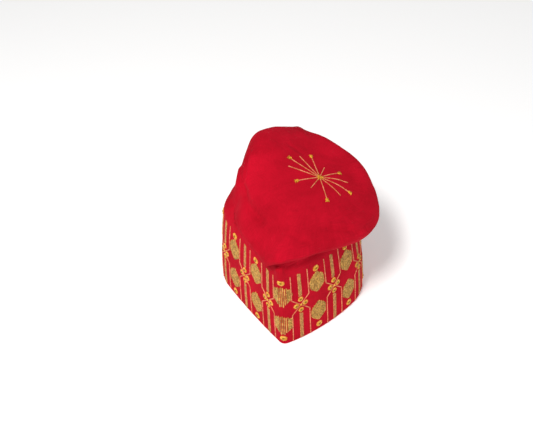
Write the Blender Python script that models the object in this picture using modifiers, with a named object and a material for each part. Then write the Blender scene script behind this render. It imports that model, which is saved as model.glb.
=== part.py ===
import math

import bmesh
import bpy
from mathutils import Vector

# A tall embroidered cloth cap, opened up and standing on its rim. The stiff band
# has a sharp crease at the front and the back; the soft crown slumps to the right.
# Metres, +Z up, the front crease towards -Y.

CREASE_SPAN = 0.223        # band, front crease to back crease
SIDE_SPAN = 0.1735         # band, left bend to right bend
BEND_FORWARD = 0.012       # the right bend stands this far in front of the left one
BAND_HEIGHT = 0.111
BAND_WALL = 0.0028         # two layers of cloth over a stiff interlining
BAND_LEAN = 0.0090         # how far the side bends lean in at the band's top
EDGE_ROUND = 0.0006        # the band's turned edges
CREASE_ROUND = 0.006       # wall taken up on each side by the turn at a crease
BEND_ROUND = 0.030         # the same at the soft side bends

CROWN_WALL = 0.0015        # lined cotton
CROWN_RISE = 0.074         # band's top edge to the crown's highest place
CROWN_OVERHANG = 0.0235    # how far the slumped side reaches past the band
CLEARANCE = 0.0004         # between the crown's lower edge and the band's top

WALL_STEPS = 12            # facets along a wall between two corners
CORNER_STEPS = 6           # facets round a corner
PROFILE_STEPS = 5          # facets in each stretch of the crown's profile
CREASE_STEPS = 40          # steps along a crease of the crown

# How far each wall bulges out between its corners, as a share of the side span.
WALL_BULGE = {
    "front_right": 0.056,
    "back_right": 0.055,
    "back_left": 0.045,
    "front_left": 0.016,
}

# The middle of the crown's top, where the profiles meet: shares of the half
# spans to the right and the back, and of the crown's rise.
TOP_RIGHT = 0.40
TOP_BACK = 0.03
TOP_UP = 0.63

# The plain strip under the crown's fold swells out by this share of the overhang.
STRIP_BULGE = 0.04

# The crown's profile at places round the band, in twelfths from the front crease
# by the right. Outward lengths are shares of the overhang, heights are shares of
# the rise above the band's top edge, and "in" is the share of the way to the top.
PROFILE_COLUMNS = (
    "at", "fold_out", "fold_up", "lip_out", "lip_up", "rim_out", "rim_up",
    "shoulder_in", "shoulder_up", "middle_in", "middle_up",
)
PROFILES = (
    (0.0, -0.08, 0.23, 0.14, 0.26, 0.22, 0.37, 0.20, 0.51, 0.52, 0.69),
    (1.0, -0.06, 0.20, 0.22, 0.16, 0.38, 0.26, 0.20, 0.47, 0.52, 0.63),
    (2.0, 0.00, 0.09, 0.42, -0.09, 0.86, 0.15, 0.21, 0.42, 0.54, 0.585),
    (3.0, 0.06, 0.08, 0.86, -0.26, 1.34, 0.08, 0.24, 0.42, 0.56, 0.555),
    (4.0, 0.04, 0.09, 0.60, -0.04, 1.32, 0.41, 0.25, 0.53, 0.54, 0.58),
    (5.0, 0.00, 0.12, 0.20, 0.12, 0.48, 0.58, 0.25, 0.61, 0.52, 0.61),
    (6.0, -0.04, 0.13, 0.12, 0.18, -0.08, 0.52, 0.22, 0.66, 0.52, 0.68),
    (7.0, -0.04, 0.13, 0.10, 0.20, 0.06, 0.76, 0.18, 0.86, 0.52, 0.78),
    (7.6, -0.04, 0.13, 0.06, 0.20, 0.08, 0.80, 0.18, 0.97, 0.54, 0.82),
    (8.0, -0.04, 0.12, -0.02, 0.20, -0.20, 0.66, 0.21, 0.98, 0.56, 0.84),
    (8.5, -0.10, 0.09, -0.26, 0.18, -0.58, 0.46, 0.26, 0.91, 0.57, 0.85),
    (9.0, -0.24, 0.08, -0.44, 0.16, -0.72, 0.38, 0.31, 0.80, 0.58, 0.85),
    (9.5, -0.20, 0.08, -0.46, 0.15, -0.84, 0.33, 0.27, 0.64, 0.55, 0.83),
    (10.0, -0.14, 0.11, -0.06, 0.15, -0.26, 0.30, 0.22, 0.53, 0.52, 0.81),
    (10.5, -0.12, 0.12, 0.08, 0.15, 0.02, 0.28, 0.20, 0.50, 0.52, 0.78),
    (11.0, -0.10, 0.13, 0.13, 0.14, 0.12, 0.27, 0.20, 0.49, 0.52, 0.75),
    (11.35, -0.08, 0.15, 0.17, 0.13, 0.20, 0.26, 0.20, 0.49, 0.52, 0.73),
    (11.65, -0.08, 0.18, 0.34, 0.13, 0.40, 0.27, 0.20, 0.48, 0.52, 0.72),
)

# Creases pressed into the crown, each between two places round the band at shares
# of the way up the profile. Depth and width are shares of the crown's rise. A
# negative depth stands up; "bank" is how much of the depth the cloth on the
# crease's upper side is raised by.
CREASE_COLUMNS = ("from_at", "from_share", "to_at", "to_share", "depth", "width", "bank")
CREASES = {
    "left_fold": (8.5, 0.640, 11.0, 0.735, 0.062, 0.120, 0.7),
    "front_crease": (0.0, 0.780, 0.6, 0.650, 0.020, 0.085, 0.3),
    "right_crease": (1.1, 0.690, 1.9, 0.610, 0.030, 0.080, 0.5),
    "top_crease": (11.3, 0.860, 12.0, 0.860, -0.016, 0.080, 0.0),
}
CREASE_REACH = 4           # a crease moves the cloth out to this many of its widths


def clear_scene():
    for item in list(bpy.data.objects):
        bpy.data.objects.remove(item)
    for item in list(bpy.data.collections):
        bpy.data.collections.remove(item)


def make_material(name, colour, roughness):
    material = bpy.data.materials.new(name)
    material.use_nodes = True
    shader = material.node_tree.nodes["Principled BSDF"]
    shader.inputs["Base Color"].default_value = (*colour, 1)
    shader.inputs["Roughness"].default_value = roughness
    shader.inputs["Metallic"].default_value = 0
    return material


def wall_arc(start, end, bulge):
    """The shallow arc from start to end that bulges out of the cap, by its share from 0 to 1."""
    along = (end - start).normalized()
    outward = Vector((along.y, -along.x))
    return lambda t: start.lerp(end, t) + outward * bulge * 4 * t * (1 - t)


def turn(start, corner, end, t):
    """A point on the soft turn from start to end that is drawn towards the corner."""
    return start * (1 - t) ** 2 + corner * 2 * t * (1 - t) + end * t * t


def plan_outline():
    """The band's outer outline from above, from the front crease round by the right."""
    corners = (
        (Vector((0, -CREASE_SPAN / 2)), CREASE_ROUND, "front_right"),
        (Vector((SIDE_SPAN / 2, -BEND_FORWARD)), BEND_ROUND, "back_right"),
        (Vector((0, CREASE_SPAN / 2)), CREASE_ROUND, "back_left"),
        (Vector((-SIDE_SPAN / 2, 0)), BEND_ROUND, "front_left"),
    )
    walls = []
    for index, (start, start_round, name) in enumerate(corners):
        end, end_round, _ = corners[(index + 1) % 4]
        length = (end - start).length
        arc = wall_arc(start, end, WALL_BULGE[name] * SIDE_SPAN)
        walls.append((arc, start_round / length, 1 - end_round / length))
    points = []
    for index, (wall, first, last) in enumerate(walls):
        before, _, before_last = walls[index - 1]
        for step in range(CORNER_STEPS):
            share = step / CORNER_STEPS
            points.append(turn(before(before_last), corners[index][0], wall(first), share))
        for step in range(WALL_STEPS):
            points.append(wall(first + (last - first) * step / WALL_STEPS))
    wide = max(p.x for p in points) - min(p.x for p in points)
    deep = max(p.y for p in points) - min(p.y for p in points)
    return [Vector((p.x * SIDE_SPAN / wide, p.y * CREASE_SPAN / deep)) for p in points]


def outward_normals(points):
    normals = []
    for i, point in enumerate(points):
        along = (points[(i + 1) % len(points)] - points[i - 1]).normalized()
        normals.append(Vector((along.y, -along.x)))
    return normals


def twelfths_round(points):
    """How far round the band each point lies, in twelfths from the front crease."""
    steps = [(points[(i + 1) % len(points)] - p).length for i, p in enumerate(points)]
    total = sum(steps)
    walked = [12 * sum(steps[:i]) / total for i in range(len(steps))]
    return [(w - walked[CORNER_STEPS // 2]) % 12 for w in walked]


def lean_in(point, height):
    side = point.x / (SIDE_SPAN / 2)
    return point - Vector((BAND_LEAN * side * (height / BAND_HEIGHT) ** 2, 0))


def profile_at(place):
    """The table's lengths at a place round the band, on smooth curves through its rows."""
    count = len(PROFILES)
    index = max(i for i in range(count) if PROFILES[i][0] <= place)
    around = [(index + k) for k in (-1, 0, 1, 2)]
    rows = [PROFILES[k % count] for k in around]
    at = [PROFILES[k % count][0] + 12 * (k // count) for k in around]
    span = at[2] - at[1]
    t = (place - at[1]) / span
    made = {}
    for column, name in enumerate(PROFILE_COLUMNS[1:], 1):
        a, b, c, d = (row[column] for row in rows)
        leaving = (c - a) / (at[2] - at[0]) * span
        arriving = (d - b) / (at[3] - at[1]) * span
        made[name] = b * (2 * t ** 3 - 3 * t ** 2 + 1) + c * (3 * t ** 2 - 2 * t ** 3)
        made[name] += leaving * (t ** 3 - 2 * t ** 2 + t) + arriving * (t ** 3 - t ** 2)
    return made


def crown_profile(point, normal, place):
    """The corners of the crown's profile over one point of the band's top edge."""
    row = profile_at(place)
    edge = lean_in(point, BAND_HEIGHT)
    top = Vector((TOP_RIGHT * SIDE_SPAN / 2, TOP_BACK * CREASE_SPAN / 2))

    def out_over(out, up):
        spot = edge + normal * out * CROWN_OVERHANG
        return Vector((spot.x, spot.y, BAND_HEIGHT + up * CROWN_RISE))

    def inward(share, up):
        spot = edge.lerp(top, share)
        return Vector((spot.x, spot.y, BAND_HEIGHT + up * CROWN_RISE))

    return [
        out_over(0, CLEARANCE / CROWN_RISE),
        out_over(STRIP_BULGE, row["fold_up"] / 2),
        out_over(row["fold_out"], row["fold_up"]),
        out_over(row["lip_out"], row["lip_up"]),
        out_over(row["rim_out"], row["rim_up"]),
        inward(row["shoulder_in"], row["shoulder_up"]),
        inward(row["middle_in"], row["middle_up"]),
        inward(1, TOP_UP),
    ]


def rounded(corners):
    """A curve that touches the middle of every leg of the line through the corners."""
    middles = [(a + b) / 2 for a, b in zip(corners[1:-2], corners[2:-1])]
    joints = [corners[0]] + middles + [corners[-1]]
    made = [corners[0]]
    for start, corner, end in zip(joints, corners[1:-1], joints[1:]):
        made += [turn(start, corner, end, step / PROFILE_STEPS) for step in range(1, PROFILE_STEPS + 1)]
    return made


def blend(low, high, share):
    return low + (high - low) * share


def crease_path(columns, places, crease):
    """Where a crease runs over the smooth crown: a point and a share up the profile at each step."""
    path = []
    for step in range(CREASE_STEPS + 1):
        along = step / CREASE_STEPS
        at = blend(crease["from_at"], crease["to_at"], along)
        share = blend(crease["from_share"], crease["to_share"], along)
        after = min(range(len(places)), key=lambda i: (places[i] - at) % 12)
        gap = (places[after] - places[after - 1]) % 12
        across = 1 - ((places[after] - at) % 12) / gap
        row = share * (len(columns[0]) - 1)
        ring = int(row)
        low = blend(columns[after - 1][ring], columns[after][ring], across)
        high = blend(columns[after - 1][ring + 1], columns[after][ring + 1], across)
        path.append((blend(low, high, row - ring), share))
    return path


def press_crease(columns, moved, path, crease):
    """Move the points near a crease square to the smooth crown."""
    width = crease["width"] * CROWN_RISE
    depth = crease["depth"] * CROWN_RISE
    for i, column in enumerate(columns):
        before, after = columns[i - 1], columns[(i + 1) % len(columns)]
        for k in range(2, len(column) - 1):
            near = min(range(len(path)), key=lambda n: (path[n][0] - column[k]).length)
            away = (path[near][0] - column[k]).length / width
            if away > CREASE_REACH:
                continue
            side = 1 if k / (len(column) - 1) > path[near][1] else -1
            fade = math.sin(math.pi * near / CREASE_STEPS) ** 0.5
            push = crease["bank"] * math.exp(-((side * away - 1.7) ** 2)) - math.exp(-(away ** 2))
            facing = (after[k] - before[k]).cross(column[k + 1] - column[k - 1]).normalized()
            moved[i][k] = moved[i][k] + facing * push * fade * depth


def make_loft(name, rings, closed, material, collection):
    """Skin the rings into one object; a closed loft joins its last ring to its first."""
    mesh = bpy.data.meshes.new(name)
    work = bmesh.new()
    rows = [[work.verts.new(spot) for spot in row] for row in rings]
    pairs = list(zip(rows, rows[1:]))
    if closed:
        pairs.append((rows[-1], rows[0]))
    for low, high in pairs:
        for i in range(len(low)):
            j = (i + 1) % len(low)
            work.faces.new((low[i], low[j], high[j], high[i]))
    if not closed:
        bmesh.ops.remove_doubles(work, verts=rows[-1], dist=0.0001)
    bmesh.ops.recalc_face_normals(work, faces=work.faces)
    for face in work.faces:
        face.smooth = True
    work.to_mesh(mesh)
    work.free()
    made = bpy.data.objects.new(name, mesh)
    made.data.materials.append(material)
    collection.objects.link(made)
    return made


def build_band(points, normals, material, collection):
    def ring(inset, height):
        spots = [lean_in(p, height) - n * inset for p, n in zip(points, normals)]
        return [Vector((spot.x, spot.y, height)) for spot in spots]

    levels = [EDGE_ROUND, 0.25 * BAND_HEIGHT, 0.5 * BAND_HEIGHT, 0.75 * BAND_HEIGHT, BAND_HEIGHT - EDGE_ROUND]
    rings = [ring(EDGE_ROUND, 0)]
    rings += [ring(0, level) for level in levels]
    rings += [ring(EDGE_ROUND, BAND_HEIGHT), ring(BAND_WALL - EDGE_ROUND, BAND_HEIGHT)]
    rings += [ring(BAND_WALL, level) for level in reversed(levels)]
    rings += [ring(BAND_WALL - EDGE_ROUND, 0)]
    return make_loft("band", rings, True, material, collection)


def build_crown(points, normals, material, collection):
    places = twelfths_round(points)
    columns = [rounded(crown_profile(*each)) for each in zip(points, normals, places)]
    moved = [list(column) for column in columns]
    for values in CREASES.values():
        crease = dict(zip(CREASE_COLUMNS, values))
        press_crease(columns, moved, crease_path(columns, places, crease), crease)
    rings = [list(row) for row in zip(*moved)]
    crown = make_loft("crown", rings, False, material, collection)
    cloth = crown.modifiers.new("cloth", "SOLIDIFY")
    cloth.thickness = CROWN_WALL
    cloth.offset = -1
    return crown


def main():
    clear_scene()
    cap = bpy.data.collections.new("fila_cap")
    bpy.context.scene.collection.children.link(cap)
    points = plan_outline()
    normals = outward_normals(points)
    band_cloth = make_material("band_cloth", (0.546, 0.0048, 0.0176), 0.85)
    crown_cloth = make_material("crown_cloth", (0.571, 0.0052, 0.0194), 0.9)
    pieces = [
        build_band(points, normals, band_cloth, cap),
        build_crown(points, normals, crown_cloth, cap),
    ]
    # The cap's frame stands under the middle of its box, on the rim's plane.
    spots = [vertex.co for piece in pieces for vertex in piece.data.vertices]
    frame = bpy.data.objects.new("fila_cap_frame", None)
    cap.objects.link(frame)
    frame.location.x = -(min(s.x for s in spots) + max(s.x for s in spots)) / 2
    frame.location.y = -(min(s.y for s in spots) + max(s.y for s in spots)) / 2
    for piece in pieces:
        piece.parent = frame
    bpy.context.view_layer.update()


main()
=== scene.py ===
import math
import random

import bmesh
import bpy
import numpy as np
from mathutils import Matrix, Vector, noise


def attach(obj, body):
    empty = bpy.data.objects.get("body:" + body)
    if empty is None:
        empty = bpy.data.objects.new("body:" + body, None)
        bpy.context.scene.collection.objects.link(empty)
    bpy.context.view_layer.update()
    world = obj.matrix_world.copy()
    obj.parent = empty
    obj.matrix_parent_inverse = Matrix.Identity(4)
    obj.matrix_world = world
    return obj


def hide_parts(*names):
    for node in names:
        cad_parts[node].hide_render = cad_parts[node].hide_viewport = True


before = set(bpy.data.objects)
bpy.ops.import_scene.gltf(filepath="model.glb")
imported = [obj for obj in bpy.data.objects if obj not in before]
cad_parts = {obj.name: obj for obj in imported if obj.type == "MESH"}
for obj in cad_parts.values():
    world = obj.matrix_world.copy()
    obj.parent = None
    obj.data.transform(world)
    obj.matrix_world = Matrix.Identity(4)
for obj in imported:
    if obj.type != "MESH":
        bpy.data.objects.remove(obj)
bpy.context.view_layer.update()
print("stage: frame loaded")

# The cap's cut and pose, as the CAD has them: metres, the front crease towards -Y.
cap = {
    "creaseSpan": 0.223, "sideSpan": 0.1735, "bendForward": 0.012,
    "bandHeight": 0.111, "bandWall": 0.0028, "bandLean": 0.0090,
    "creaseRound": 0.006, "bendRound": 0.030, "crownWall": 0.0015, "crownRise": 0.074, "overhang": 0.0235,
    "topRight": 0.40, "topBack": 0.03, "topUp": 0.63, "stripBulge": -0.05, "stripShare": 0.32,
    "foldSharp": (2.5, 5.0), "foldReach": 3.4,
    "wallBulge": {"frontRight": 0.056, "backRight": 0.055, "backLeft": 0.045, "frontLeft": 0.016},
    "shift": (-0.00935, 0.00127),
}

# The crown's profile at places round the band, in twelfths from the front crease by the right.
profileColumns = ("at", "foldOut", "foldUp", "lipOut", "lipUp", "rimOut", "rimUp",
                  "shoulderIn", "shoulderUp", "middleIn", "middleUp")
profiles = (
    (0.0, -0.18, 0.36, 0.13, 0.31, 0.22, 0.41, 0.20, 0.51, 0.52, 0.69),
    (0.5, -0.22, 0.34, 0.17, 0.265, 0.29, 0.36, 0.20, 0.49, 0.52, 0.66),
    (1.0, -0.24, 0.29, 0.22, 0.21, 0.38, 0.30, 0.20, 0.47, 0.52, 0.63),
    (2.0, -0.14, 0.12, 0.34, -0.04, 0.80, 0.18, 0.21, 0.42, 0.54, 0.585),
    (3.0, 0.02, 0.08, 0.80, -0.22, 1.31, 0.10, 0.24, 0.42, 0.56, 0.555),
    (4.0, 0.04, 0.09, 0.60, -0.04, 1.32, 0.41, 0.25, 0.53, 0.54, 0.58),
    (5.0, 0.00, 0.12, 0.20, 0.12, 0.48, 0.58, 0.25, 0.61, 0.52, 0.61),
    (6.0, -0.04, 0.13, 0.12, 0.18, -0.08, 0.52, 0.22, 0.66, 0.52, 0.68),
    (7.0, -0.04, 0.13, 0.10, 0.20, 0.06, 0.76, 0.18, 0.86, 0.52, 0.78),
    (7.6, -0.04, 0.13, 0.06, 0.20, 0.08, 0.80, 0.18, 0.97, 0.54, 0.82),
    (8.0, -0.04, 0.12, -0.02, 0.20, -0.20, 0.66, 0.21, 0.98, 0.56, 0.84),
    (8.5, -0.10, 0.09, -0.26, 0.18, -0.58, 0.46, 0.26, 0.91, 0.57, 0.85),
    (9.0, -0.24, 0.09, -0.44, 0.16, -0.72, 0.38, 0.31, 0.80, 0.58, 0.85),
    (9.5, -0.28, 0.11, -0.42, 0.14, -0.82, 0.33, 0.27, 0.64, 0.55, 0.83),
    (10.0, -0.30, 0.18, 0.03, 0.135, -0.18, 0.30, 0.22, 0.53, 0.52, 0.81),
    (10.5, -0.32, 0.20, 0.17, 0.140, 0.09, 0.28, 0.20, 0.50, 0.52, 0.78),
    (11.0, -0.32, 0.21, 0.22, 0.140, 0.18, 0.27, 0.20, 0.49, 0.52, 0.75),
    (11.35, -0.30, 0.23, 0.25, 0.138, 0.23, 0.26, 0.20, 0.49, 0.52, 0.73),
    (11.5, -0.28, 0.25, 0.28, 0.132, 0.28, 0.27, 0.20, 0.49, 0.52, 0.73),
    (11.60, -0.24, 0.263, 0.294, 0.124, 0.327, 0.283, 0.20, 0.483, 0.52, 0.723),
    (11.65, -0.22, 0.27, 0.30, 0.12, 0.35, 0.29, 0.20, 0.48, 0.52, 0.72),
    (11.70, -0.213, 0.283, 0.28, 0.147, 0.333, 0.307, 0.20, 0.483, 0.52, 0.717),
    (11.8, -0.20, 0.31, 0.24, 0.20, 0.30, 0.34, 0.20, 0.49, 0.52, 0.71),
)

# Creases of the crown: where each runs, as places and shares of the way up the profile, how deep and wide
# it is in metres, and how much of the depth the cloth on its upper side stands up by. Negative depths
# stand up.
creases = {
    "leftFold": {"path": ((8.4, 0.630), (9.1, 0.622), (9.8, 0.683),
                          (10.4, 0.712), (10.8, 0.718), (11.1, 0.715)),
                 "depth": 0.0034, "width": 0.0056, "bank": 0.6},
    "frontCrease": {"path": ((11.9, 0.785), (12.35, 0.72), (12.85, 0.650)),
                 "depth": 0.0010, "width": 0.0034, "bank": 0.5},
    "rightCrease": {"path": ((13.2, 0.722), (13.6, 0.685), (13.95, 0.645), (14.3, 0.585)),
                 "depth": 0.0016, "width": 0.0034, "bank": 0.7},
    "rightRoll": {"path": ((13.9, 0.600), (14.4, 0.590), (14.9, 0.575)),
                 "depth": 0.0012, "width": 0.0040, "bank": 0.6},
    "topCrease": {"path": ((11.5, 0.852), (11.75, 0.865), (12.0, 0.880)),
                 "depth": -0.0009, "width": 0.0024, "bank": 0.0},
    "backRipple": {"path": ((7.2, 0.86), (7.0, 0.90), (6.6, 0.94)),
                 "depth": 0.0008, "width": 0.0040, "bank": 0.5},
    "humpNotch": {"path": ((8.1, 0.700), (8.6, 0.690), (9.0, 0.672), (9.3, 0.655)),
                 "depth": 0.0060, "width": 0.0042, "bank": 0.3},
    "humpShelf": {"path": ((8.3, 0.600), (8.7, 0.590), (9.1, 0.580)),
                 "depth": -0.0030, "width": 0.0048, "bank": 0.0},
    "stripTuck": {"path": ((11.75, 0.125), (11.95, 0.135), (12.15, 0.135), (12.4, 0.150)),
                 "depth": 0.0028, "width": 0.0019, "bank": 0.8},
    "stripFold": {"path": ((12.0, 0.085), (12.25, 0.100), (12.6, 0.115), (13.0, 0.125), (13.3, 0.150)),
                 "depth": 0.0022, "width": 0.0022, "bank": 0.9},
    "stripEdge": {"path": ((12.3, 0.055), (12.6, 0.075), (12.95, 0.085), (13.3, 0.100)),
                 "depth": 0.0013, "width": 0.0022, "bank": 0.8},
    "stripPouch": {"path": ((11.8, 0.075), (11.95, 0.070), (12.15, 0.062)),
                 "depth": -0.0020, "width": 0.0042, "bank": 0.0},
}

pattern = {
    "hexLow": 0.0327, "hexHigh": 0.0799, "hexWidth": 0.0212, "creaseWiden": 1.3,
    "hexHeight": 0.0335, "hexSide": 0.0135, "ribReach": 0.0052,
    "crossing": 0.0574, "top": 0.1068, "bottom": 0.0022,
    "lineAt": 0.26, "elbowHigh": 0.0690, "elbowLow": 0.0452,
    "eyeletLow": 0.0093, "eyeletHigh": 0.1010, "eyeletWide": 0.0088, "eyeletSmall": 0.0072,
    "eyeletCurve": 0.011, "eyeletStitch": 0.00145, "heartReach": 0.0006,
    "clusterAcross": 0.127, "clusterUp": 0.0084,
    "stripeRows": 4, "stripeGap": 0.0130, "stripeHang": 0.0006,
}

cloth = {
    "around": 360, "bandRows": 56, "pieceRows": (10, 14, 22, 28, 32, 26), "hemRows": 5, "insideRows": 58,
    "hemHeight": 0.0014, "creaseSoften": 14,
    "swell": 0.0009, "swellSize": 0.042, "ripple": 0.00022, "rippleSize": 0.012, "seed": 11,
}


def spline(rows, x, period):
    # Values of a periodic table at x, on a smooth curve through its rows.
    count = len(rows)
    index = max([i for i in range(count) if rows[i][0] <= x] or [count - 1])
    around = [index + k for k in (-1, 0, 1, 2)]
    near = [np.array(rows[k % count][1:], float) for k in around]
    at = [rows[k % count][0] + period * (k // count) for k in around]
    span = at[2] - at[1]
    t = ((x - at[1]) % period) / span
    leaving = (near[2] - near[0]) / (at[2] - at[0]) * span
    arriving = (near[3] - near[1]) / (at[3] - at[1]) * span
    return (near[1] * (2 * t ** 3 - 3 * t ** 2 + 1) + near[2] * (3 * t ** 2 - 2 * t ** 3)
            + leaving * (t ** 3 - 2 * t ** 2 + t) + arriving * (t ** 3 - t ** 2))


def turn(a, corner, b, t, sharp=1.0):
    # A soft turn from a to b; the sharper, the nearer it passes to the corner.
    pull = 2 * t * (1 - t) * sharp
    weight = (1 - t) ** 2 + pull + t * t
    if np.ndim(weight):
        weight, pull = weight[:, None], np.asarray(pull)[:, None]
    return (a * (1 - t) ** 2 + corner * pull + b * t * t) / weight


def planOutline(count):
    # The band's outline from above: evenly spaced points, the first on the front crease.
    front = np.array((0, -cap["creaseSpan"] / 2))
    right = np.array((cap["sideSpan"] / 2, 0))
    names = ("frontRight", "backRight", "backLeft", "frontLeft")
    corners = (front, right - np.array((0, cap["bendForward"])), -front, -right)
    rounds = (cap["creaseRound"], cap["bendRound"]) * 2
    walls = []
    for i in range(4):
        a, b = corners[i], corners[(i + 1) % 4]
        length = np.linalg.norm(b - a)
        out = np.array(((b - a)[1], -(b - a)[0])) / length
        bulge = cap["wallBulge"][names[i]] * cap["sideSpan"]

        def wall(t, a=a, b=b, out=out, bulge=bulge):
            return a + (b - a) * t + out * bulge * 4 * t * (1 - t)

        walls.append((wall, rounds[i] / length, 1 - rounds[(i + 1) % 4] / length))
    spots = []
    for i, (wall, first, last) in enumerate(walls):
        before, _, beforeLast = walls[i - 1]
        spots += [turn(before(beforeLast), corners[i], wall(first), k / 60) for k in range(60)]
        spots += [wall(first + (last - first) * k / 240) for k in range(240)]
    spots = np.array(spots)
    for axis, span in ((0, cap["sideSpan"]), (1, cap["creaseSpan"])):
        spots[:, axis] *= span / np.ptp(spots[:, axis])
    spots = np.roll(spots, -30, axis=0)
    steps = np.linalg.norm(np.roll(spots, -1, axis=0) - spots, axis=1)
    walked = np.concatenate(([0], np.cumsum(steps)))
    wanted = np.arange(count) * walked[-1] / count
    ring = np.vstack((spots, spots[:1]))
    return np.stack([np.interp(wanted, walked, ring[:, k]) for k in (0, 1)], 1), walked[-1]


outline, girth = planOutline(cloth["around"])
tangents = np.roll(outline, -1, axis=0) - np.roll(outline, 1, axis=0)
tangents /= np.linalg.norm(tangents, axis=1)[:, None]
outward = np.stack((tangents[:, 1], -tangents[:, 0]), 1)
places = np.arange(cloth["around"]) * 12 / cloth["around"]
twelfth = girth / 12


def lean(spots, height):
    side = spots[:, 0] / (cap["sideSpan"] / 2)
    moved = spots.copy()
    moved[:, 0] -= cap["bandLean"] * side * (height / cap["bandHeight"]) ** 2
    return moved


def crownCorners():
    # The corners of every column's profile: one array of points for each corner.
    rows = np.array([spline(profiles, place, 12) for place in places])
    row = dict(zip(profileColumns[1:], rows.T))
    edge = lean(outline, cap["bandHeight"])
    top = np.array((cap["topRight"] * cap["sideSpan"] / 2, cap["topBack"] * cap["creaseSpan"] / 2))

    def over(out, up):
        spot = edge + outward * (np.ones(len(edge)) * out * cap["overhang"])[:, None]
        return np.column_stack((spot, cap["bandHeight"] + np.ones(len(edge)) * up * cap["crownRise"]))

    def inward(share, up):
        spot = edge + (top - edge) * (np.ones(len(edge)) * share)[:, None]
        return np.column_stack((spot, cap["bandHeight"] + np.ones(len(edge)) * up * cap["crownRise"]))

    return [over(0, 0), over(cap["stripBulge"], row["foldUp"] * cap["stripShare"]),
            over(row["foldOut"], row["foldUp"]), over(row["lipOut"], row["lipUp"]),
            over(row["rimOut"], row["rimUp"]),
            inward(row["shoulderIn"], row["shoulderUp"]), inward(row["middleIn"], row["middleUp"]),
            inward(1, cap["topUp"])]


def sharpness(piece):
    # The fold under the crown and its lip are pressed sharp round the front, and soft elsewhere.
    if piece not in (1, 2):
        return np.ones(cloth["around"])
    front = np.minimum(np.abs(places - 11.7), 12 - np.abs(places - 11.7))
    return 1 + cap["foldSharp"][piece - 1] * np.exp(-((front / cap["foldReach"]) ** 4))


def crownRows():
    # The crown's rows from the band's top to the middle of the crown, and each row's share of the way up.
    corners = crownCorners()
    joints = [corners[0]] + [(a + b) / 2 for a, b in zip(corners[1:-2], corners[2:-1])] + [corners[-1]]
    rows, shares = [], []
    pieces = len(corners) - 2
    for k, steps in enumerate(cloth["pieceRows"]):
        for step in range(1, steps + 1):
            t = step / steps
            rows.append(turn(joints[k], corners[k + 1], joints[k + 1], t, sharpness(k)))
            shares.append((k + t) / pieces)
    return np.array(rows), np.array(shares)


def gridNormals(grid):
    # Outward normals of a grid of rows that close round.
    across = np.roll(grid, -1, axis=1) - np.roll(grid, 1, axis=1)
    up = np.gradient(grid, axis=0)
    normals = np.cross(across, up)
    return normals / (np.linalg.norm(normals, axis=2)[..., None] + 1e-12)


def onGrid(grid, column, row):
    # A point between the rows and columns of a grid; columns close round.
    c0, r0 = int(math.floor(column)), int(min(max(math.floor(row), 0), len(grid) - 2))
    u, v = column - c0, min(max(row - r0, 0), 1)
    c0, c1 = c0 % grid.shape[1], (c0 + 1) % grid.shape[1]
    low = grid[r0, c0] * (1 - u) + grid[r0, c1] * u
    high = grid[r0 + 1, c0] * (1 - u) + grid[r0 + 1, c1] * u
    return low * (1 - v) + high * v


def pressCreases(grid, shares):
    # The crown's rows moved square to their surface by the creases.
    normals = gridNormals(grid)
    moved = grid.copy()
    for crease in creases.values():
        knots = np.array(crease["path"])
        t = np.linspace(0, len(knots) - 1, 90)
        at = np.interp(t, np.arange(len(knots)), knots[:, 0])
        share = np.interp(t, np.arange(len(knots)), knots[:, 1])
        soften = np.ones(13) / 13
        at = np.convolve(np.pad(at, 6, mode="edge"), soften, "valid")
        share = np.convolve(np.pad(share, 6, mode="edge"), soften, "valid")
        row = np.interp(share, shares, np.arange(len(shares)))
        path = np.array([onGrid(grid, a * cloth["around"] / 12, r) for a, r in zip(at, row)])
        flat = grid.reshape(-1, 3)
        away = np.linalg.norm(flat[:, None, :] - path[None, ::6], axis=2).min(1)
        close = np.where(away < 4.5 * crease["width"])[0]
        gap = np.linalg.norm(flat[close][:, None, :] - path[None], axis=2)
        near = gap.argmin(1)
        away = gap.min(1) / crease["width"]
        side = np.where(shares[close // grid.shape[1]] > share[near], 1, -1)
        along = near / (len(path) - 1)
        fade = np.clip(np.minimum(along, 1 - along) * 4 + 0.03, 0, 1)
        fade = fade * fade * (3 - 2 * fade)
        push = crease["bank"] * np.exp(-((side * away - 1.7) ** 2)) - np.exp(-(away ** 2))
        change = normals.reshape(-1, 3)[close] * (push * fade * crease["depth"])[:, None]
        moved.reshape(-1, 3)[close] += change
    return moved


def ruffle(grid, strength):
    # Soft swells and small ripples of the cloth, moved along its normals.
    normals = gridNormals(grid)
    moved = grid.copy()
    for r in range(grid.shape[0]):
        for c in range(grid.shape[1]):
            spot = Vector(grid[r, c])
            swell = noise.noise(spot / cloth["swellSize"] + Vector((cloth["seed"], 0, 0)))
            ripple = noise.noise(Vector((spot.x, spot.y * 1.7, spot.z)) / cloth["rippleSize"])
            push = cloth["swell"] * swell * strength[r] + cloth["ripple"] * ripple
            moved[r, c] += normals[r, c] * push
    return moved


def smoothRows(grid, first, last, times):
    # Evens out neighbouring rows between two row numbers.
    for _ in range(times):
        part = grid[first - 1:last + 1]
        grid[first:last] = part[1:-1] * 0.5 + (part[:-2] + part[2:]) * 0.25
    return grid


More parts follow.
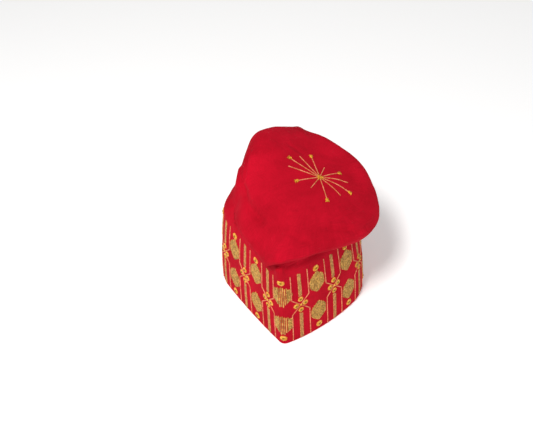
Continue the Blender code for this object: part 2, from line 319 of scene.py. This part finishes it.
def buildCloth():
    # The outer surface of the band and crown in one cloth: rows from the hem to the middle of the crown.
    heights = np.linspace(cloth["hemHeight"], cap["bandHeight"], cloth["bandRows"])
    band = np.array([np.column_stack((lean(outline, h), np.full(len(outline), h))) for h in heights])
    crown, shares = crownRows()
    crown = pressCreases(crown, shares)
    grid = np.concatenate((band, crown))
    grid = smoothRows(grid, len(band) - 3, len(band) + 4, 6)
    for _ in range(cloth["creaseSoften"]):
        flat = (np.roll(band, 1, axis=1) + np.roll(band, -1, axis=1)) / 2
        nearest = np.minimum(np.abs(heights - pattern["eyeletLow"]), np.abs(heights - pattern["eyeletHigh"]))
        share = 0.12 + 0.38 * np.exp(-((nearest / 0.0065) ** 4))
        fold = np.minimum(np.arange(cloth["around"]) % 180, -np.arange(cloth["around"]) % 180)
        band += (flat - band) * share[:, None, None] * (fold < 12)[None, :, None]
    grid[:len(band) - 4] = band[:-4]
    strength = np.concatenate((np.full(len(band), 0.35), 0.35 + 0.65 * np.clip(shares * 4, 0, 1)))
    strength[:4] *= 0.3
    strength[-12:] *= np.linspace(1, 0, 12)
    grid = ruffle(grid, strength)
    grid[-1] = grid[-1].mean(0)
    wall = np.concatenate((np.full(len(band), cap["bandWall"]), np.full(len(crown), cap["crownWall"])))
    return grid, wall


clothGrid, clothWall = buildCloth()
clothGrid[..., 0] += cap["shift"][0]
clothGrid[..., 1] += cap["shift"][1]
clothNormals = gridNormals(clothGrid)
print("stage: cloth shaped", clothGrid.shape)


def linear(hexColour):
    # Linear colour from an sRGB hex string.
    parts = [int(hexColour[i:i + 2], 16) / 255 for i in (1, 3, 5)]
    return tuple(p / 12.92 if p <= 0.04045 else ((p + 0.055) / 1.055) ** 2.4 for p in parts) + (1.0,)


def gridMesh(name, rows, uvRows, closeTop):
    # A mesh of rows that close round, with a map of metres round and up.
    count = rows.shape[1]
    mesh = bpy.data.meshes.new(name)
    vertices = rows.reshape(-1, 3)
    faces, maps = [], []
    for r in range(len(rows) - 1):
        for c in range(count):
            d = (c + 1) % count
            faces.append((r * count + c, r * count + d, (r + 1) * count + d, (r + 1) * count + c))
            u0, u1 = c / count * girth, (c + 1) / count * girth
            low, high = uvRows[r], uvRows[r + 1]
            maps.append(((u0, low[c]), (u1, low[d]), (u1, high[d]), (u0, high[c])))
    mesh.from_pydata([tuple(v) for v in vertices], [], faces)
    layer = mesh.uv_layers.new(name="cloth")
    layer.data.foreach_set("uv", np.array(maps, float).reshape(-1))
    made = bpy.data.objects.new(name, mesh)
    bpy.context.scene.collection.objects.link(made)
    work = bmesh.new()
    work.from_mesh(mesh)
    if closeTop:
        work.verts.ensure_lookup_table()
        bmesh.ops.remove_doubles(work, verts=work.verts[(len(rows) - 1) * count:], dist=0.00005)
    for face in work.faces:
        face.smooth = True
    work.to_mesh(mesh)
    work.free()
    return made


def arcUp(rows):
    steps = np.linalg.norm(np.diff(rows, axis=0), axis=2)
    return np.concatenate((np.zeros((1, rows.shape[1])), np.cumsum(steps, axis=0)))


def makeCap():
    # The cap's cloth: outer surface, turned hem and the inside.
    inner = clothGrid - clothNormals * clothWall[:, None, None]
    inner[-1] = inner[-1].mean(0)
    middle = (clothGrid[0] + inner[0]) / 2
    out = (clothGrid[0] - inner[0]) / 2
    hem = []
    for k in range(1, cloth["hemRows"] + 1):
        angle = math.pi * k / (cloth["hemRows"] + 1)
        row = middle + out * math.cos(angle)
        row[:, 2] -= math.sin(angle) * clothGrid[0, 0, 2]
        hem.append(row)
    hem = np.array(hem)[::-1]
    picks = np.unique(np.round(np.linspace(0, len(inner) - 1, cloth["insideRows"])).astype(int))
    inside = inner[picks][::-1]
    outerRows = np.concatenate((hem, clothGrid))
    outer = gridMesh("capCloth", outerRows, arcUp(outerRows), True)
    insideRows = np.concatenate((inside, hem[:1]))
    lining = gridMesh("capInside", insideRows, arcUp(insideRows), False)
    return outer, lining


capCloth, capInside = makeCap()
print("stage: cap meshes", len(capCloth.data.polygons), len(capInside.data.polygons))

# The embroidery. Lengths are metres; heights are above the band's lower edge. Every figure repeats once in a
# twelfth of the girth: the hexagons stand on whole twelfths, the thick stripes and crossings between them.
threads = {
    "fill": {"long": 0.0026, "wide": 0.00118, "tall": 0.00062, "wander": 0.16,
             "row": 0.00100, "step": 0.00205},
    "rib": {"long": 0.0062, "wide": 0.00150, "tall": 0.00095, "wander": 0.010,
            "row": 0.00222, "step": 0.0050},
    "stripe": {"long": 0.0027, "wide": 0.00128, "tall": 0.00066, "wander": 0.08,
               "row": 0.00114, "step": 0.0021},
    "line": {"long": 0.0026, "wide": 0.00120, "tall": 0.00095, "wander": 0.05, "step": 0.00195},
    "eyelet": {"long": 0.0036, "wide": 0.00095, "tall": 0.00105, "wander": 0.05},
}
star = {
    # A ray's knot: where each stitch lies along and across the ray, in metres, and how far it is turned.
    "knot": ((-0.0006, 0.0009, 0.5), (-0.0006, -0.0009, -0.5), (0.0012, 0.0, 0.0),
             (0.0004, 0.0, 1.5), (0.0018, 0.0009, 0.9), (0.0018, -0.0009, -0.9)),
    "centre": (0.0350, 0.0023), "lift": 0.00035,
    # Where each ray ends in plan, from the star's centre, and whether it ends in a knot.
    "rays": (
        (-0.0348, 0.0166, True), (-0.0245, 0.0252, False), (-0.0120, 0.0324, True),
        (0.0040, 0.0190, False), (0.0204, 0.0170, True), (0.0310, 0.0080, False),
        (0.0337, -0.0058, True), (0.0240, -0.0180, False), (0.0102, -0.0315, True),
        (-0.0080, -0.0200, False), (-0.0240, -0.0137, True), (-0.0350, 0.0040, False),
    ),
}


def newBook(seed):
    # The stitches of one piece: where each lies on the cloth, which way it runs, its size and its shade.
    return {"random": random.Random(seed), "rows": []}


def addStitch(book, spot, facing, aim, long, wide, tall, shade):
    book["rows"].append((spot, facing, aim, (long, wide, tall), shade))


def bandSpot(place, height):
    # Point, normal and the two directions along the band's cloth, for a place and a height.
    column = place * cloth["around"] / 12
    hem = cloth["hemHeight"]
    row = (height - hem) / (cap["bandHeight"] - hem) * (cloth["bandRows"] - 1)
    spot = onGrid(clothGrid, column, row)
    facing = onGrid(clothNormals, column, row)
    facing = facing / np.linalg.norm(facing)
    up = np.array((0, 0, 1.0)) - facing * facing[2]
    up /= np.linalg.norm(up)
    return spot, facing, np.cross(up, facing), up


def bandStitch(book, column, across, height, angle, thread, long=None, lift=0.0, flat=None):
    # One stitch on the band: across is metres to the right of the column, angle is from upright. A flat
    # height, at a crease, is the middle of an eyelet that bends round the crease on a gentler curve.
    if flat is None:
        spot, facing, right, up = bandSpot(column + across / twelfth, height)
    else:
        spot, facing, right, up = bandSpot(column, flat)
        bend = across / pattern["eyeletCurve"]
        spot = spot + right * across + up * (height - flat) - facing * across * bend / 2
        facing, right = facing + right * bend, right - facing * bend
    turned = angle + book["random"].gauss(0, thread["wander"])
    aim = up * math.cos(turned) + right * math.sin(turned)
    shade = book["random"].random()
    addStitch(book, spot + facing * lift, facing, aim,
              (long or thread["long"]) * book["random"].uniform(0.9, 1.1),
              thread["wide"], thread["tall"] * book["random"].uniform(0.85, 1.15), shade)


def hexHalfHeight(across, width):
    # Half the height of a hexagon at a distance from its middle; the corners are softly rounded.
    half = width / 2
    share = abs(across) / half
    if share > 1:
        return 0
    tall = pattern["hexHeight"] / 2
    side = pattern["hexSide"] / 2
    slope = tall - (tall - side) * share
    return min(slope, tall - 0.0012) * min(1, 3.2 * math.sqrt(max(0, 1 - share)) + 0.1)


def fillHexagon(book, column, middle, ribbed):
    # Rows of short upright stitches laid like bricks; at a crease the middle is open satin ribs.
    width = pattern["hexWidth"] * (pattern["creaseWiden"] if ribbed else 1)
    across = -width / 2 + threads["fill"]["row"] * 0.4
    index = 0
    while across < width / 2:
        rib = ribbed and abs(across) < pattern["ribReach"]
        thread = threads["rib"] if rib else threads["fill"]
        half = hexHalfHeight(across, width)
        height = -half + thread["step"] * (0.5 if index % 2 else 0.15) + 0.0004
        while height < half - 0.0004:
            bandStitch(book, column, across, middle + height, 0, thread)
            height += thread["step"]
        across += thread["row"] * book["random"].uniform(0.97, 1.03)
        index += 1


def fillStripe(book, column, low, high):
    # An upright bar of lengthwise rows at half a twelfth to the right of the column.
    thread = threads["stripe"]
    rows = pattern["stripeRows"]
    for k in range(rows):
        across = (k - (rows - 1) / 2) * thread["row"]
        ends = 0.0011 * abs(k - (rows - 1) / 2) / 1.5
        height = low + ends + thread["step"] * (0.5 if k % 2 else 0.1)
        while height < high - ends:
            bandStitch(book, column + 0.5, across, height, 0, thread)
            height += thread["step"]


def followLine(book, column, corners, thread):
    # A cord of chained stitches along straight legs between (across, height) corners.
    for (x0, y0), (x1, y1) in zip(corners, corners[1:]):
        length = math.hypot(x1 - x0, y1 - y0)
        count = max(1, round(length / thread["step"]))
        angle = math.atan2(x1 - x0, y1 - y0)
        for k in range(count):
            t = (k + 0.5) / count
            bandStitch(book, column, x0 + (x1 - x0) * t, y0 + (y1 - y0) * t, angle, thread,
                       length / count * 1.32, 0.0001)


def sewEyelet(book, heart, column, across, height, wide):
    # A ring of satin stitches round a small darker heart: dark stitches in the middle, painted shade of the
    # eyelet's open centre.
    thread = threads["eyelet"]
    flat = height if column % 6 == 0 else None
    count = max(12, round(wide * math.pi / pattern["eyeletStitch"]))
    long = wide / 2 - 0.0008
    for k in range(count):
        angle = 2 * math.pi * k / count
        reach = wide / 2 - long / 2
        bandStitch(book, column, across + math.sin(angle) * reach, height + math.cos(angle) * reach,
                   angle, thread, long, 0.0001, flat)
    for k in range(5):
        angle = 2 * math.pi * k / 5
        reach = pattern["heartReach"]
        bandStitch(heart, column, across + math.sin(angle) * reach, height + math.cos(angle) * reach,
                   angle, thread, 0.0020, 0.0006, flat)


def sewBand():
    # All the stitches of the band, by thread.
    books = {name: newBook(seed) for name, seed in
             (("hexagonsLow", 1), ("hexagonsHigh", 2), ("stripes", 3),
              ("lines", 4), ("eyelets", 5), ("hearts", 6))}
    side = pattern["lineAt"] * twelfth
    for column in range(12):
        ribbed = column % 6 == 0
        fillHexagon(books["hexagonsLow"], column, pattern["hexLow"], ribbed)
        fillHexagon(books["hexagonsHigh"], column, pattern["hexHigh"], ribbed)
        above, below = pattern["crossing"] + pattern["stripeGap"], pattern["crossing"] - pattern["stripeGap"]
        fillStripe(books["stripes"], column, above, pattern["top"])
        fillStripe(books["stripes"], column, pattern["bottom"] - pattern["stripeHang"], below)
        for sign in (-1, 1):
            start, far = side * sign, (twelfth - side) * sign
            followLine(books["lines"], column, (
                (start, pattern["top"]), (start, pattern["elbowHigh"]), (far, pattern["elbowLow"]),
                (far, pattern["bottom"])), threads["line"])
        sewEyelet(books["eyelets"], books["hearts"], column, 0, pattern["eyeletLow"], pattern["eyeletWide"])
        sewEyelet(books["eyelets"], books["hearts"], column, 0, pattern["eyeletHigh"], pattern["eyeletWide"])
        out, up = pattern["clusterAcross"] * twelfth, pattern["clusterUp"]
        for x, y in ((0, up), (out, 0), (0, -up), (-out, 0)):
            sewEyelet(books["eyelets"], books["hearts"], column + 0.5, x, pattern["crossing"] + y,
                      pattern["eyeletSmall"])
        for k in range(3):
            bandStitch(books["eyelets"], column + 0.5, 0, pattern["crossing"], k * 1.05, threads["eyelet"],
                       0.003, 0.0007)
    return books


def crownFinder():
    # Looks straight down for the crown's surface: point and normal at a place in plan.
    graph = bpy.context.evaluated_depsgraph_get()
    seen = capCloth.evaluated_get(graph)

    def find(x, y):
        hit, spot, facing, _ = seen.ray_cast(Vector((x, y, 0.5)), Vector((0, 0, -1)))
        return np.array(spot), np.array(facing)

    return find


def sewStar():
    # The starburst: rays of chained stitches out of a knotted middle, every second one ending in a knot.
    rays, knots = newBook(7), newBook(8)
    find = crownFinder()
    thread = threads["line"]
    cx, cy = star["centre"][0] + cap["shift"][0], star["centre"][1] + cap["shift"][1]
    for x, y, knotted in star["rays"]:
        points = [find(cx + x * k / 60, cy + y * k / 60) for k in range(61)]
        steps = [np.linalg.norm(b[0] - a[0]) for a, b in zip(points, points[1:])]
        walked = np.concatenate(([0], np.cumsum(steps)))
        count = max(3, round(walked[-1] / thread["step"]))
        for k in range(count):
            n = int(np.searchsorted(walked, walked[-1] * (k + 0.5) / count))
            n = min(max(n, 1), 59)
            aim = points[n + 1][0] - points[n - 1][0]
            aim /= np.linalg.norm(aim)
            addStitch(rays, points[n][0] + points[n][1] * star["lift"], points[n][1], aim,
                      walked[-1] / count * 1.35, thread["wide"] * 0.92, thread["tall"],
                      rays["random"].random())
        spot, facing = points[-1]
        aim = points[-1][0] - points[-3][0]
        aim /= np.linalg.norm(aim)
        if knotted:
            side = np.cross(facing, aim)
            for along, across, turned in star["knot"]:
                addStitch(knots, spot + aim * along + side * across + facing * 0.0005, facing,
                          aim * math.cos(turned) + side * math.sin(turned), 0.0036, 0.0015, 0.0016,
                          knots["random"].random())
    spot, facing = find(cx, cy)
    for k in range(26):
        angle = knots["random"].uniform(0, math.pi)
        aim = np.cross(facing, np.array((math.cos(angle), math.sin(angle), 0)))
        aim /= np.linalg.norm(aim)
        along, side = knots["random"].gauss(0, 0.0023), knots["random"].gauss(0, 0.0010)
        offset = np.array((along * 0.86 + side * 0.5, side * 0.86 - along * 0.5, 0))
        offset -= facing * (offset @ facing)
        addStitch(knots, spot + offset + facing * 0.0006, facing, aim, 0.0038, 0.0013, 0.0014,
                  knots["random"].random())
    return {"starRays": rays, "starKnots": knots}


def stitchShape():
    # One stitch: an arched half round thread, a metre each way, that dives into the cloth at both ends.
    mesh = bpy.data.meshes.new("stitchShape")
    # Along the thread, its width there and how high it lies.
    stations = ((-0.5, 0.32, -0.35), (-0.36, 0.82, 0.0), (0.0, 1.0, 0.12), (0.36, 0.82, 0.0),
                (0.5, 0.32, -0.35))
    angles = [math.pi * k / 4 for k in range(5)]
    vertices = [(x, 0.5 * width * math.cos(a), rise + 0.88 * width * math.sin(a) - 0.12)
                for x, width, rise in stations for a in angles]
    faces = [(r * 5 + k, (r + 1) * 5 + k, (r + 1) * 5 + k + 1, r * 5 + k + 1)
             for r in range(4) for k in range(4)]
    mesh.from_pydata(vertices, [], faces)
    layer = mesh.uv_layers.new(name="thread")
    for polygon in mesh.polygons:
        polygon.use_smooth = True
        for loop, vertex in zip(polygon.loop_indices, polygon.vertices):
            layer.data[loop].uv = (stations[vertex // 5][0] + 0.5, (vertex % 5) / 4)
    made = bpy.data.objects.new("stitchShape", mesh)
    return made


def stitchNodes():
    # Geometry Nodes: lays the stitch on every point, turned and sized as the point says.
    group = bpy.data.node_groups.new("layStitches", "GeometryNodeTree")
    group.is_modifier = True
    face = group.interface
    face.new_socket("Points", in_out="INPUT", socket_type="NodeSocketGeometry")
    face.new_socket("Stitch", in_out="INPUT", socket_type="NodeSocketObject")
    face.new_socket("Thread", in_out="INPUT", socket_type="NodeSocketMaterial")
    face.new_socket("Stitches", in_out="OUTPUT", socket_type="NodeSocketGeometry")

    def add(kind, **values):
        node = group.nodes.new(kind)
        for key, value in values.items():
            setattr(node, key, value)
        return node

    def named(name, kind):
        node = add("GeometryNodeInputNamedAttribute", data_type=kind)
        node.inputs["Name"].default_value = name
        return node.outputs[0]

    link = group.links.new
    start, end = add("NodeGroupInput"), add("NodeGroupOutput")
    points = add("GeometryNodeMeshToPoints")
    info = add("GeometryNodeObjectInfo", transform_space="ORIGINAL")
    along = add("FunctionNodeAlignRotationToVector", axis="X")
    upright = add("FunctionNodeAlignRotationToVector", axis="Z", pivot_axis="X")
    lay = add("GeometryNodeInstanceOnPoints")
    realize = add("GeometryNodeRealizeInstances")
    colour = add("GeometryNodeSetMaterial")
    link(start.outputs["Points"], points.inputs["Mesh"])
    link(start.outputs["Stitch"], info.inputs["Object"])
    link(named("aim", "FLOAT_VECTOR"), along.inputs["Vector"])
    link(along.outputs[0], upright.inputs["Rotation"])
    link(named("facing", "FLOAT_VECTOR"), upright.inputs["Vector"])
    link(points.outputs[0], lay.inputs["Points"])
    link(info.outputs["Geometry"], lay.inputs["Instance"])
    link(upright.outputs[0], lay.inputs["Rotation"])
    link(named("size", "FLOAT_VECTOR"), lay.inputs["Scale"])
    link(lay.outputs[0], realize.inputs[0])
    link(realize.outputs[0], colour.inputs["Geometry"])
    link(start.outputs["Thread"], colour.inputs["Material"])
    link(colour.outputs[0], end.inputs[0])
    return group


def layStitches(name, book, group, shape, material):
    # One piece of embroidery as a plain mesh.
    source = bpy.data.meshes.new(name + "Points")
    source.from_pydata([tuple(row[0]) for row in book["rows"]], [], [])
    for key, column in (("facing", 1), ("aim", 2), ("size", 3)):
        layer = source.attributes.new(key, "FLOAT_VECTOR", "POINT")
        layer.data.foreach_set("vector", np.array([row[column] for row in book["rows"]], float).reshape(-1))
    layer = source.attributes.new("shade", "FLOAT", "POINT")
    layer.data.foreach_set("value", [row[4] for row in book["rows"]])
    holder = bpy.data.objects.new(name + "Points", source)
    bpy.context.scene.collection.objects.link(holder)
    nodes = holder.modifiers.new("layStitches", "NODES")
    nodes.node_group = group
    for item in group.interface.items_tree:
        if item.name == "Stitch":
            nodes[item.identifier] = shape
        if item.name == "Thread":
            nodes[item.identifier] = material
    bpy.context.view_layer.update()
    graph = bpy.context.evaluated_depsgraph_get()
    mesh = bpy.data.meshes.new_from_object(holder.evaluated_get(graph), depsgraph=graph)
    mesh.name = name
    bpy.data.objects.remove(holder)
    made = bpy.data.objects.new(name, mesh)
    bpy.context.scene.collection.objects.link(made)
    print("stage:", name, len(book["rows"]), "stitches", len(mesh.polygons), "faces")
    return made


def shaderKit(material):
    # Adds a shader node and sets its sockets by name.
    tree = material.node_tree

    def add(kind, sockets=None, **values):
        node = tree.nodes.new(kind)
        for key, value in values.items():
            setattr(node, key, value)
        for key, value in (sockets or {}).items():
            node.inputs[key].default_value = value
        return node

    return add, tree.links.new


def newMaterial(name):
    material = bpy.data.materials.new(name)
    material.use_nodes = True
    material.node_tree.nodes.clear()
    return material


def cottonMaterial(name, settings):
    # Plain woven cotton: matt, a soft edge sheen, a fine over and under weave with faint uneven yarns.
    material = newMaterial(name)
    add, link = shaderKit(material)
    out = add("ShaderNodeOutputMaterial")
    cotton = add("ShaderNodeBsdfPrincipled", {
        "Roughness": settings["roughness"], "Sheen Weight": settings["sheen"], "Sheen Roughness": 0.45,
        "Sheen Tint": linear(settings["sheenColour"]), "Specular IOR Level": 0.06})
    link(cotton.outputs[0], out.inputs["Surface"])
    where = add("ShaderNodeUVMap", uv_map="cloth")
    split = add("ShaderNodeSeparateXYZ")
    link(where.outputs[0], split.inputs[0])
    waves = []
    for axis in (0, 1):
        scaled = add("ShaderNodeMath", {1: 2 * math.pi / settings["yarn"]}, operation="MULTIPLY")
        link(split.outputs[axis], scaled.inputs[0])
        wave = add("ShaderNodeMath", operation="SINE")
        link(scaled.outputs[0], wave.inputs[0])
        waves.append(wave)
    weave = add("ShaderNodeMath", operation="MULTIPLY")
    link(waves[0].outputs[0], weave.inputs[0])
    link(waves[1].outputs[0], weave.inputs[1])
    # Slubs: yarns that are a little thicker or thinner for a few millimetres, along and across.
    slubs = []
    along, across = settings["slubAlong"], settings["slubAcross"]
    for scale in ((along, across, 1), (across, along, 1)):
        stretch = add("ShaderNodeMapping", {"Scale": scale})
        link(where.outputs[0], stretch.inputs["Vector"])
        slub = add("ShaderNodeTexNoise", {"Scale": 1.0, "Detail": 1.0, "Roughness": 0.5})
        link(stretch.outputs[0], slub.inputs["Vector"])
        slubs.append(slub)
    both = add("ShaderNodeMath", operation="ADD")
    link(slubs[0].outputs["Fac"], both.inputs[0])
    link(slubs[1].outputs["Fac"], both.inputs[1])
    blotch = add("ShaderNodeTexNoise", {"Scale": 26.0, "Detail": 3.0, "Roughness": 0.55})
    place = add("ShaderNodeTexCoord")
    link(place.outputs["Object"], blotch.inputs["Vector"])
    # Colour: the dye, a shade darker and duller in the blotches and the thin yarns.
    mixed = add("ShaderNodeMath", {1: 0.5, 2: 0.0}, operation="MULTIPLY_ADD")
    link(both.outputs[0], mixed.inputs[0])
    link(blotch.outputs["Fac"], mixed.inputs[2])
    span = add("ShaderNodeMapRange", {"From Min": 0.75, "From Max": 1.25})
    link(mixed.outputs[0], span.inputs["Value"])
    dye = add("ShaderNodeMix", data_type="RGBA")
    dye.inputs[6].default_value = linear(settings["dark"])
    dye.inputs[7].default_value = linear(settings["light"])
    link(span.outputs["Result"], dye.inputs[0])
    link(dye.outputs[2], cotton.inputs["Base Color"])
    fine = add("ShaderNodeBump", {"Strength": settings["weaveStrength"], "Distance": settings["weaveDepth"]})
    link(weave.outputs[0], fine.inputs["Height"])
    coarse = add("ShaderNodeBump", {"Strength": 0.5, "Distance": settings["slubDepth"]})
    link(both.outputs[0], coarse.inputs["Height"])
    link(fine.outputs[0], coarse.inputs["Normal"])
    link(coarse.outputs[0], cotton.inputs["Normal"])
    return material


def threadMaterial(name, settings):
    # Rayon embroidery thread: a silky, lengthwise shine over a twisted yarn, each stitch its own shade.
    material = newMaterial(name)
    add, link = shaderKit(material)
    out = add("ShaderNodeOutputMaterial")
    rayon = add("ShaderNodeBsdfPrincipled", {
        "Roughness": settings["roughness"], "Specular IOR Level": 0.3, "Anisotropic": 0.5,
        "Sheen Weight": 0.03})
    link(rayon.outputs[0], out.inputs["Surface"])
    shade = add("ShaderNodeAttribute", attribute_name="shade")
    dye = add("ShaderNodeMix", data_type="RGBA")
    dye.inputs[6].default_value = linear(settings["dark"])
    dye.inputs[7].default_value = linear(settings["light"])
    link(shade.outputs["Fac"], dye.inputs[0])
    link(dye.outputs[2], rayon.inputs["Base Color"])
    where = add("ShaderNodeUVMap", uv_map="thread")
    twist = add("ShaderNodeTexWave", {"Scale": settings["twist"], "Distortion": 0.6, "Detail": 1.0},
                bands_direction="DIAGONAL")
    link(where.outputs[0], twist.inputs["Vector"])
    strands = add("ShaderNodeBump", {"Strength": 0.5, "Distance": 0.00012})
    link(twist.outputs["Fac"], strands.inputs["Height"])
    link(strands.outputs[0], rayon.inputs["Normal"])
    return material


redCotton = cottonMaterial("redCotton", {
    "roughness": 0.92, "sheen": 0.02, "sheenColour": "#ff5060", "yarn": 0.00052, "slubAlong": 60.0,
    "slubAcross": 1500.0, "dark": "#aa0a1e", "light": "#ca0f29", "weaveStrength": 0.35, "weaveDepth": 0.00008,
    "slubDepth": 0.00006})
threadColours = {
    "antiqueGoldThread": {"roughness": 0.50, "dark": "#8f6018", "light": "#e4b358", "twist": 2.2},
    "bronzeGoldThread": {"roughness": 0.48, "dark": "#a4682a", "light": "#e2a75c", "twist": 2.2},
    "brightGoldThread": {"roughness": 0.35, "dark": "#e09a22", "light": "#ffcf62", "twist": 1.6},
    "copperThread": {"roughness": 0.42, "dark": "#cf6c3e", "light": "#f59c70", "twist": 2.0},
    "agedGoldThread": {"roughness": 0.42, "dark": "#a8680f", "light": "#f2b232", "twist": 2.0},
    # The dark thread in the eyelets' middles is painted shade of the eyelets' open centres, not a thread
    # colour of its own.
    "eyeletHoleShadeThread": {"roughness": 0.50, "dark": "#8a6a08", "light": "#b08c10", "twist": 1.6},
}
threadMaterials = {name: threadMaterial(name, values) for name, values in threadColours.items()}

capCloth.data.materials.append(redCotton)
capInside.data.materials.append(redCotton)
books = sewBand()
books.update(sewStar())
threadOf = {
    "hexagonsLow": "antiqueGoldThread", "hexagonsHigh": "antiqueGoldThread", "stripes": "bronzeGoldThread",
    "lines": "copperThread", "eyelets": "brightGoldThread", "hearts": "eyeletHoleShadeThread",
    "starRays": "copperThread", "starKnots": "agedGoldThread",
}
shape = stitchShape()
group = stitchNodes()
stitched = {name: layStitches(name, book, group, shape, threadMaterials[threadOf[name]])
            for name, book in books.items()}
bpy.data.objects.remove(shape)

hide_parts("band", "crown")
for piece in (capCloth, capInside, *stitched.values()):
    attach(piece, "root")

studio = {
    "floor": "#ffffff", "world": "#ffffff", "worldStrength": 0.34, "floorGlow": 0.20,
    "key": {"at": (-0.36, -0.84, 1.62), "size": 0.42, "power": 25.0, "colour": (1.0, 0.985, 0.97)},
    "fill": {"at": (1.2, -0.6, 0.9), "size": 1.2, "power": 2.6, "colour": (0.97, 0.98, 1.0)},
    "camera": {"at": (0.08489, -0.77256, 0.80949), "right": (0.9924134, 0.11391997, -0.0462372),
               "up": (-0.04377925, 0.67886954, 0.73295261), "lens": 60.79},
}


def lightStudio():
    # A plain pale floor, an even pale surround and two soft boxes.
    mesh = bpy.data.meshes.new("studioFloor")
    reach = 4.0
    corners = [(-reach, -reach, 0), (reach, -reach, 0), (reach, reach, 0), (-reach, reach, 0)]
    mesh.from_pydata(corners, [], [(0, 1, 2, 3)])
    floor = bpy.data.objects.new("studioFloor", mesh)
    floor.location.z = -0.0002
    bpy.context.scene.collection.objects.link(floor)
    paper = newMaterial("studioPaper")
    add, link = shaderKit(paper)
    out = add("ShaderNodeOutputMaterial")
    matt = add("ShaderNodeBsdfPrincipled", {
        "Base Color": linear(studio["floor"]), "Roughness": 0.95, "Specular IOR Level": 0.0,
        "Emission Color": linear(studio["floor"]), "Emission Strength": studio["floorGlow"]})
    link(matt.outputs[0], out.inputs["Surface"])
    mesh.materials.append(paper)
    world = bpy.data.worlds.new("studioWorld")
    world.use_nodes = True
    backdrop = world.node_tree.nodes["Background"]
    backdrop.inputs["Color"].default_value = linear(studio["world"])
    backdrop.inputs["Strength"].default_value = studio["worldStrength"]
    bpy.context.scene.world = world
    for name in ("key", "fill"):
        values = studio[name]
        data = bpy.data.lights.new(name + "Light", "AREA")
        data.size = values["size"]
        data.energy = values["power"]
        data.color = values["colour"]
        light = bpy.data.objects.new(name + "Light", data)
        light.location = values["at"]
        light.rotation_euler = (Vector((0, 0, 0.08)) - light.location).to_track_quat("-Z", "Y").to_euler()
        bpy.context.scene.collection.objects.link(light)


def setCamera():
    # The photograph's camera.
    values = studio["camera"]
    data = bpy.data.cameras.new("camera")
    data.lens = values["lens"]
    data.sensor_width = 36.0
    data.clip_start = 0.01
    camera = bpy.data.objects.new("camera", data)
    right, up = Vector(values["right"]), Vector(values["up"])
    turned = Matrix((right, up, right.cross(up))).transposed().to_4x4()
    camera.matrix_world = Matrix.Translation(values["at"]) @ turned
    bpy.context.scene.collection.objects.link(camera)
    bpy.context.scene.camera = camera


lightStudio()
setCamera()
bpy.context.scene.view_settings.view_transform = "Standard"
print("stage: finished")
